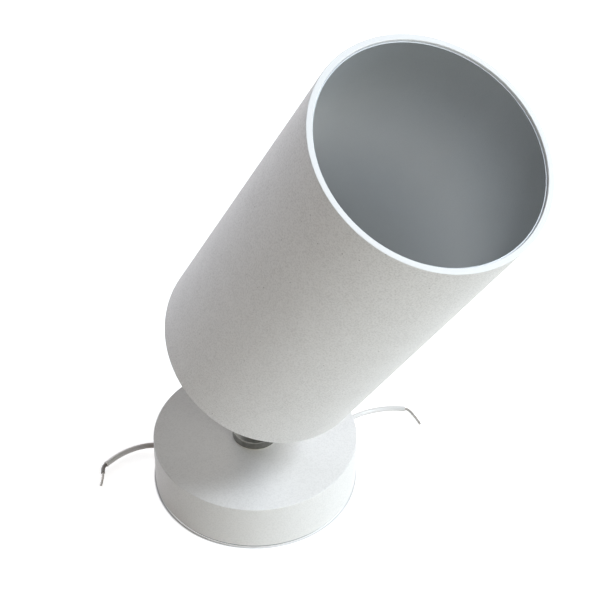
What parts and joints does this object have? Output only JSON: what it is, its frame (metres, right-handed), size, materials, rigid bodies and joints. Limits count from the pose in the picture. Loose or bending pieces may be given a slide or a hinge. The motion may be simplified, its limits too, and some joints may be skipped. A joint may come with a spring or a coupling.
{
  "type": "surface mounted ceiling spotlight",
  "caption": "White cylinder spotlight on a round ceiling canopy, with a swivel and a tilting knuckle and a deep screw-base lamp holder.",
  "frame": {"origin": "centre of the mounting plate's ceiling face, which is the centre of the two screw slots", "axes": "+Z points out of the ceiling along the swivel axis, X is along the tilt axis, the head leans towards -Y at rest"},
  "size_m": [0.1533, 0.2007, 0.2831],
  "materials": {
    "white_coat_steel": "white powder coat with a fine sand texture",
    "white_coat_aluminium": "white powder coat with a fine sand texture outside, bare satin aluminium inside",
    "bare_aluminium": "satin, turned",
    "galvanised_steel": "galvanised sheet",
    "plated_steel": "zinc plated",
    "grey_cast_zinc": "satin nickel on cast zinc",
    "brass": "plain",
    "white_nylon": "matt",
    "white_holder_plastic": "moulded, half gloss",
    "white_rubber": "soft",
    "light_insulation": "soft single-core insulation",
    "brown_grey_insulation": "soft single-core insulation",
    "dark_inner_insulation": "inner insulation of a double-insulated lead",
    "tinned_copper": "tinned strands"
  },
  "bodies": {
    "base": {"mounting_plate": "galvanised_steel", "canopy_cup": "white_coat_steel", "canopy_screws": "plated_steel", "earth_screw": "brass", "earth_washer": "brass", "lead_grommets": "white_rubber", "lead_tie": "white_nylon", "canopy_lead_left": "brown_grey_insulation", "canopy_lead_right": "light_insulation", "free_lead_left": "brown_grey_insulation", "free_lead_right": "light_insulation", "inner_insulation_left": "dark_inner_insulation", "tinned_end_left": "tinned_copper", "tinned_end_right": "tinned_copper", "swivel_bush": "white_nylon", "stop_pin": "plated_steel"},
    "swivel": {"stem_tube": "plated_steel", "stem_end_bush": "white_nylon", "swivel_collar": "grey_cast_zinc", "stop_washer": "plated_steel", "spring_washer": "plated_steel", "stem_nuts": "plated_steel", "stem_leads": "light_insulation", "swivel_fork": "grey_cast_zinc", "hinge_bolt": "plated_steel", "hinge_washers": "plated_steel", "hinge_cap_nut": "plated_steel", "friction_washers": "white_nylon"},
    "head": {"head_lug": "grey_cast_zinc", "rear_cap": "white_coat_aluminium", "cap_screws": "plated_steel", "cap_ring": "bare_aluminium", "head_tube": "white_coat_aluminium", "tube_liner": "bare_aluminium", "carrier_tube": "plated_steel", "carrier_nuts": "plated_steel", "lock_washer": "plated_steel", "holder_cap": "white_holder_plastic", "holder_grub_screw": "plated_steel", "holder_base": "white_holder_plastic", "holder_body": "white_holder_plastic", "holder_shell": "brass", "centre_contact": "brass", "terminal_blocks": "brass", "terminal_screws": "plated_steel", "head_leads": "light_insulation"}
  },
  "joints": [
    {"name": "pan", "type": "hinge", "parent": "base", "child": "swivel", "pos_m": [0, 0, 0.027], "axis": [0, 0, 1], "range_deg": [-160, 160]},
    {"name": "tilt", "type": "hinge", "parent": "swivel", "child": "head", "pos_m": [0, 0, 0.079], "axis": [1, 0, 0], "range_deg": [-30.1, 59.9]}
  ]
}
